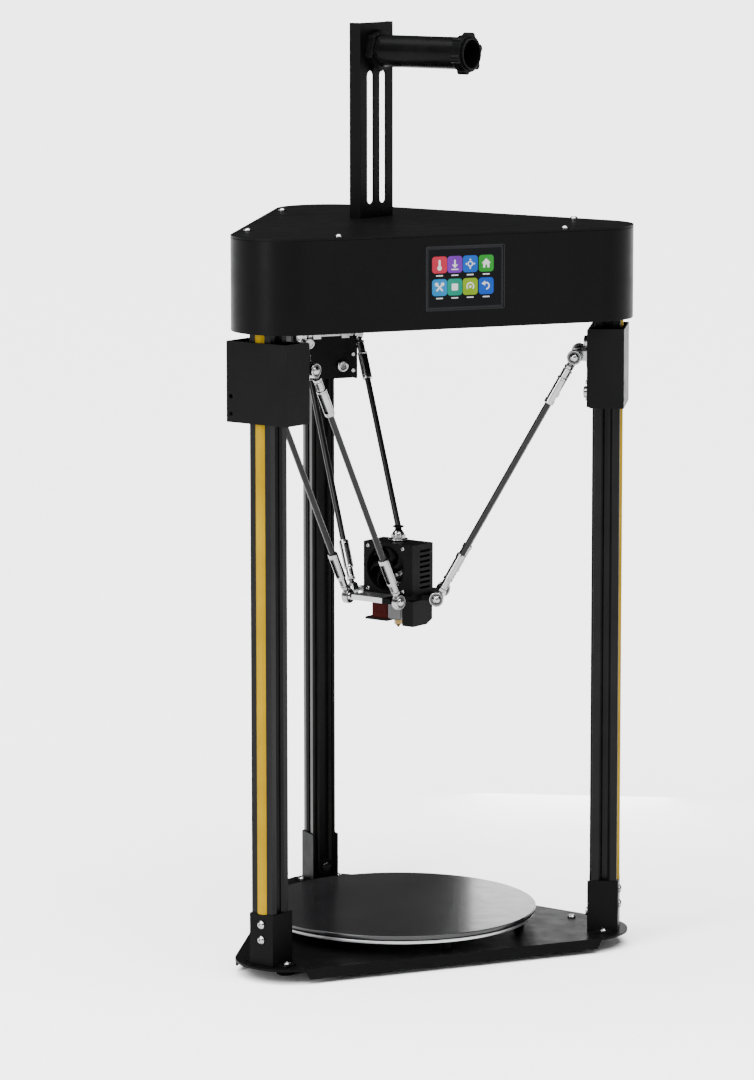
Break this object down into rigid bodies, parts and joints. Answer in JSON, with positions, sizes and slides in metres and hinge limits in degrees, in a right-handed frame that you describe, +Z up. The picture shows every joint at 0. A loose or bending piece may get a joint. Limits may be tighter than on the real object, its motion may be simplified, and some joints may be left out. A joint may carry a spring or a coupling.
{
  "type": "delta 3d printer",
  "caption": "Delta 3D printer: three slotted towers between a triangular base with a round heated bed and a head housing, with belt-driven carriages, ball-ended rods, effector and spool holder.",
  "frame": {"origin": "centre of the printer's box in plan, on the surface that the feet stand on", "axes": "+Z up along the towers, -Y towards the front with the touch screen, +X to the right seen from the front"},
  "size_m": [0.411, 0.3618, 0.88],
  "materials": {
    "black_sheet": "satin powder coat",
    "housing_paint": "matte powder coat",
    "carriage_paint": "satin powder coat",
    "foot_rubber": "matte",
    "belt_rubber": "matte",
    "black_anodised": "black anodised",
    "yellow_strip": "smooth extruded strip",
    "bright_steel": "polished",
    "bare_aluminium": "machined",
    "motor_paint": "satin",
    "zinc_sheet": "zinc plated sheet",
    "circuit_board": "solder mask",
    "screen_glass": "gloss cover glass",
    "coated_glass": "satin black print coating on glass",
    "black_plastic": "moulded",
    "red_key": "gloss",
    "spool_plastic": "satin moulded",
    "rod_carbon": "carbon tube with bright steel ends",
    "silicone_sock": "matte silicone",
    "nozzle_brass": "turned"
  },
  "bodies": {
    "printer_frame": {"base_plate": "black_sheet", "rubber_feet": "foot_rubber", "foot_brackets": "black_sheet", "button_screws": "bright_steel", "tower_a": "black_anodised", "tower_b": "black_anodised", "tower_c": "black_anodised", "slot_covers": "yellow_strip", "housing_shell": "housing_paint", "housing_floor": "black_sheet", "top_cover": "black_sheet", "motor_mounts": "bare_aluminium", "motors": "motor_paint", "belts": "belt_rubber", "touch_screen": "screen_glass", "mainboard": "circuit_board", "power_supply": "zinc_sheet", "extruder": "motor_paint", "power_inlet": "black_plastic", "bed_standoffs": "black_plastic", "heater_plate": "bare_aluminium", "build_glass": "coated_glass", "spool_bracket": "black_sheet", "spool_tube": "spool_plastic", "spool_nut": "spool_plastic"},
    "carriage_a": {"carriage_cover_a": "carriage_paint", "carriage_plate_a": "carriage_paint", "ball_bar_a": "bright_steel", "v_wheels_a": "black_plastic"},
    "carriage_b": {"carriage_cover_b": "carriage_paint", "carriage_plate_b": "carriage_paint", "ball_bar_b": "bright_steel", "v_wheels_b": "black_plastic"},
    "carriage_c": {"carriage_cover_c": "carriage_paint", "carriage_plate_c": "carriage_paint", "ball_bar_c": "bright_steel", "v_wheels_c": "black_plastic"},
    "effector": {"effector_plate": "bare_aluminium", "effector_studs": "bright_steel", "heat_sink": "bare_aluminium", "hotend_shroud": "black_plastic", "side_fan": "black_plastic", "heater_block": "silicone_sock", "nozzle": "nozzle_brass", "tube_fitting": "bright_steel"},
    "rod_a_left": {"rod_a_left": "rod_carbon"},
    "rod_a_right": {"rod_a_right": "rod_carbon"},
    "rod_b_left": {"rod_b_left": "rod_carbon"},
    "rod_b_right": {"rod_b_right": "rod_carbon"},
    "rod_c_left": {"rod_c_left": "rod_carbon"},
    "rod_c_right": {"rod_c_right": "rod_carbon"},
    "drive_pulley_a": {"drive_pulley_a": "bare_aluminium"},
    "idler_pulley_a": {"idler_pulley_a": "black_plastic"},
    "drive_pulley_b": {"drive_pulley_b": "bare_aluminium"},
    "idler_pulley_b": {"idler_pulley_b": "black_plastic"},
    "drive_pulley_c": {"drive_pulley_c": "bare_aluminium"},
    "idler_pulley_c": {"idler_pulley_c": "black_plastic"},
    "hotend_fan_rotor": {"hotend_fan_rotor": "black_plastic"},
    "side_fan_rotor": {"side_fan_rotor": "black_plastic"},
    "power_rocker": {"power_rocker": "red_key"}
  },
  "joints": [
    {"name": "carriage_a_slide", "type": "slide", "parent": "printer_frame", "child": "carriage_a", "axis": [0, 0, 1], "range_m": [-0.27, 0.007]},
    {"name": "carriage_b_slide", "type": "slide", "parent": "printer_frame", "child": "carriage_b", "axis": [0, 0, 1], "range_m": [-0.27, 0.007]},
    {"name": "carriage_c_slide", "type": "slide", "parent": "printer_frame", "child": "carriage_c", "axis": [0, 0, 1], "range_m": [-0.27, 0.007]},
    {"name": "effector_slide", "type": "slide", "parent": "printer_frame", "child": "effector", "axis": [0, 0, 1], "range_m": [-0.27, 0.007]},
    {"name": "rod_a_left_spin", "type": "hinge", "parent": "carriage_a", "child": "rod_a_left", "pos_m": [-0.16213, -0.10099, 0.5705], "axis": [-0.4218, -0.2435, 0.8734], "range_deg": [-15, 15]},
    {"name": "rod_a_right_spin", "type": "hinge", "parent": "carriage_a", "child": "rod_a_right", "pos_m": [-0.13213, -0.15295, 0.5705], "axis": [-0.4218, -0.2435, 0.8734], "range_deg": [-15, 15]},
    {"name": "rod_b_left_spin", "type": "hinge", "parent": "carriage_b", "child": "rod_b_left", "pos_m": [0.13213, -0.15295, 0.5705], "axis": [0.4218, -0.2435, 0.8734], "range_deg": [-15, 15]},
    {"name": "rod_b_right_spin", "type": "hinge", "parent": "carriage_b", "child": "rod_b_right", "pos_m": [0.16213, -0.10099, 0.5705], "axis": [0.4218, -0.2435, 0.8734], "range_deg": [-15, 15]},
    {"name": "rod_c_left_spin", "type": "hinge", "parent": "carriage_c", "child": "rod_c_left", "pos_m": [0.03, 0.12788, 0.5705], "axis": [0, 0.487, 0.8734], "range_deg": [-15, 15]},
    {"name": "rod_c_right_spin", "type": "hinge", "parent": "carriage_c", "child": "rod_c_right", "pos_m": [-0.03, 0.12788, 0.5705], "axis": [0, 0.487, 0.8734], "range_deg": [-15, 15]},
    {"name": "drive_pulley_a_spin", "type": "hinge", "parent": "printer_frame", "child": "drive_pulley_a", "pos_m": [-0.16324, -0.13627, 0.65], "axis": [-0.866, -0.5, 0], "range_deg": [-2440, 90]},
    {"name": "idler_pulley_a_spin", "type": "hinge", "parent": "printer_frame", "child": "idler_pulley_a", "pos_m": [-0.16324, -0.13627, 0.031], "axis": [-0.866, -0.5, 0], "range_deg": [-2440, 90]},
    {"name": "drive_pulley_b_spin", "type": "hinge", "parent": "printer_frame", "child": "drive_pulley_b", "pos_m": [0.16324, -0.13627, 0.65], "axis": [0.866, -0.5, 0], "range_deg": [-2440, 90]},
    {"name": "idler_pulley_b_spin", "type": "hinge", "parent": "printer_frame", "child": "idler_pulley_b", "pos_m": [0.16324, -0.13627, 0.031], "axis": [0.866, -0.5, 0], "range_deg": [-2440, 90]},
    {"name": "drive_pulley_c_spin", "type": "hinge", "parent": "printer_frame", "child": "drive_pulley_c", "pos_m": [0, 0.14648, 0.65], "axis": [0, 1, 0], "range_deg": [-2440, 90]},
    {"name": "idler_pulley_c_spin", "type": "hinge", "parent": "printer_frame", "child": "idler_pulley_c", "pos_m": [0, 0.14648, 0.031], "axis": [0, 1, 0], "range_deg": [-2440, 90]},
    {"name": "hotend_fan_rotor_spin", "type": "hinge", "parent": "effector", "child": "hotend_fan_rotor", "pos_m": [-0.01509, -0.05189, 0.36457], "axis": [-0.866, -0.5, 0], "continuous": true},
    {"name": "side_fan_rotor_spin", "type": "hinge", "parent": "effector", "child": "side_fan_rotor", "pos_m": [0.01586, -0.03748, 0.36457], "axis": [-0.866, -0.5, 0], "continuous": true},
    {"name": "power_rocker_tilt", "type": "hinge", "parent": "printer_frame", "child": "power_rocker", "pos_m": [-0.1313, 0.00146, 0.65], "axis": [-0.5, -0.866, 0], "range_deg": [-8, 8]}
  ],
  "couplings": [
    {"joint": "carriage_b_slide", "follows": "carriage_a_slide", "ratio": 1},
    {"joint": "carriage_c_slide", "follows": "carriage_a_slide", "ratio": 1},
    {"joint": "effector_slide", "follows": "carriage_a_slide", "ratio": 1},
    {"joint": "drive_pulley_a_spin", "follows": "carriage_a_slide", "rad_per_m": 156.99},
    {"joint": "idler_pulley_a_spin", "follows": "carriage_a_slide", "rad_per_m": 156.99},
    {"joint": "drive_pulley_b_spin", "follows": "carriage_a_slide", "rad_per_m": 156.99},
    {"joint": "idler_pulley_b_spin", "follows": "carriage_a_slide", "rad_per_m": 156.99},
    {"joint": "drive_pulley_c_spin", "follows": "carriage_a_slide", "rad_per_m": 156.99},
    {"joint": "idler_pulley_c_spin", "follows": "carriage_a_slide", "rad_per_m": 156.99}
  ]
}
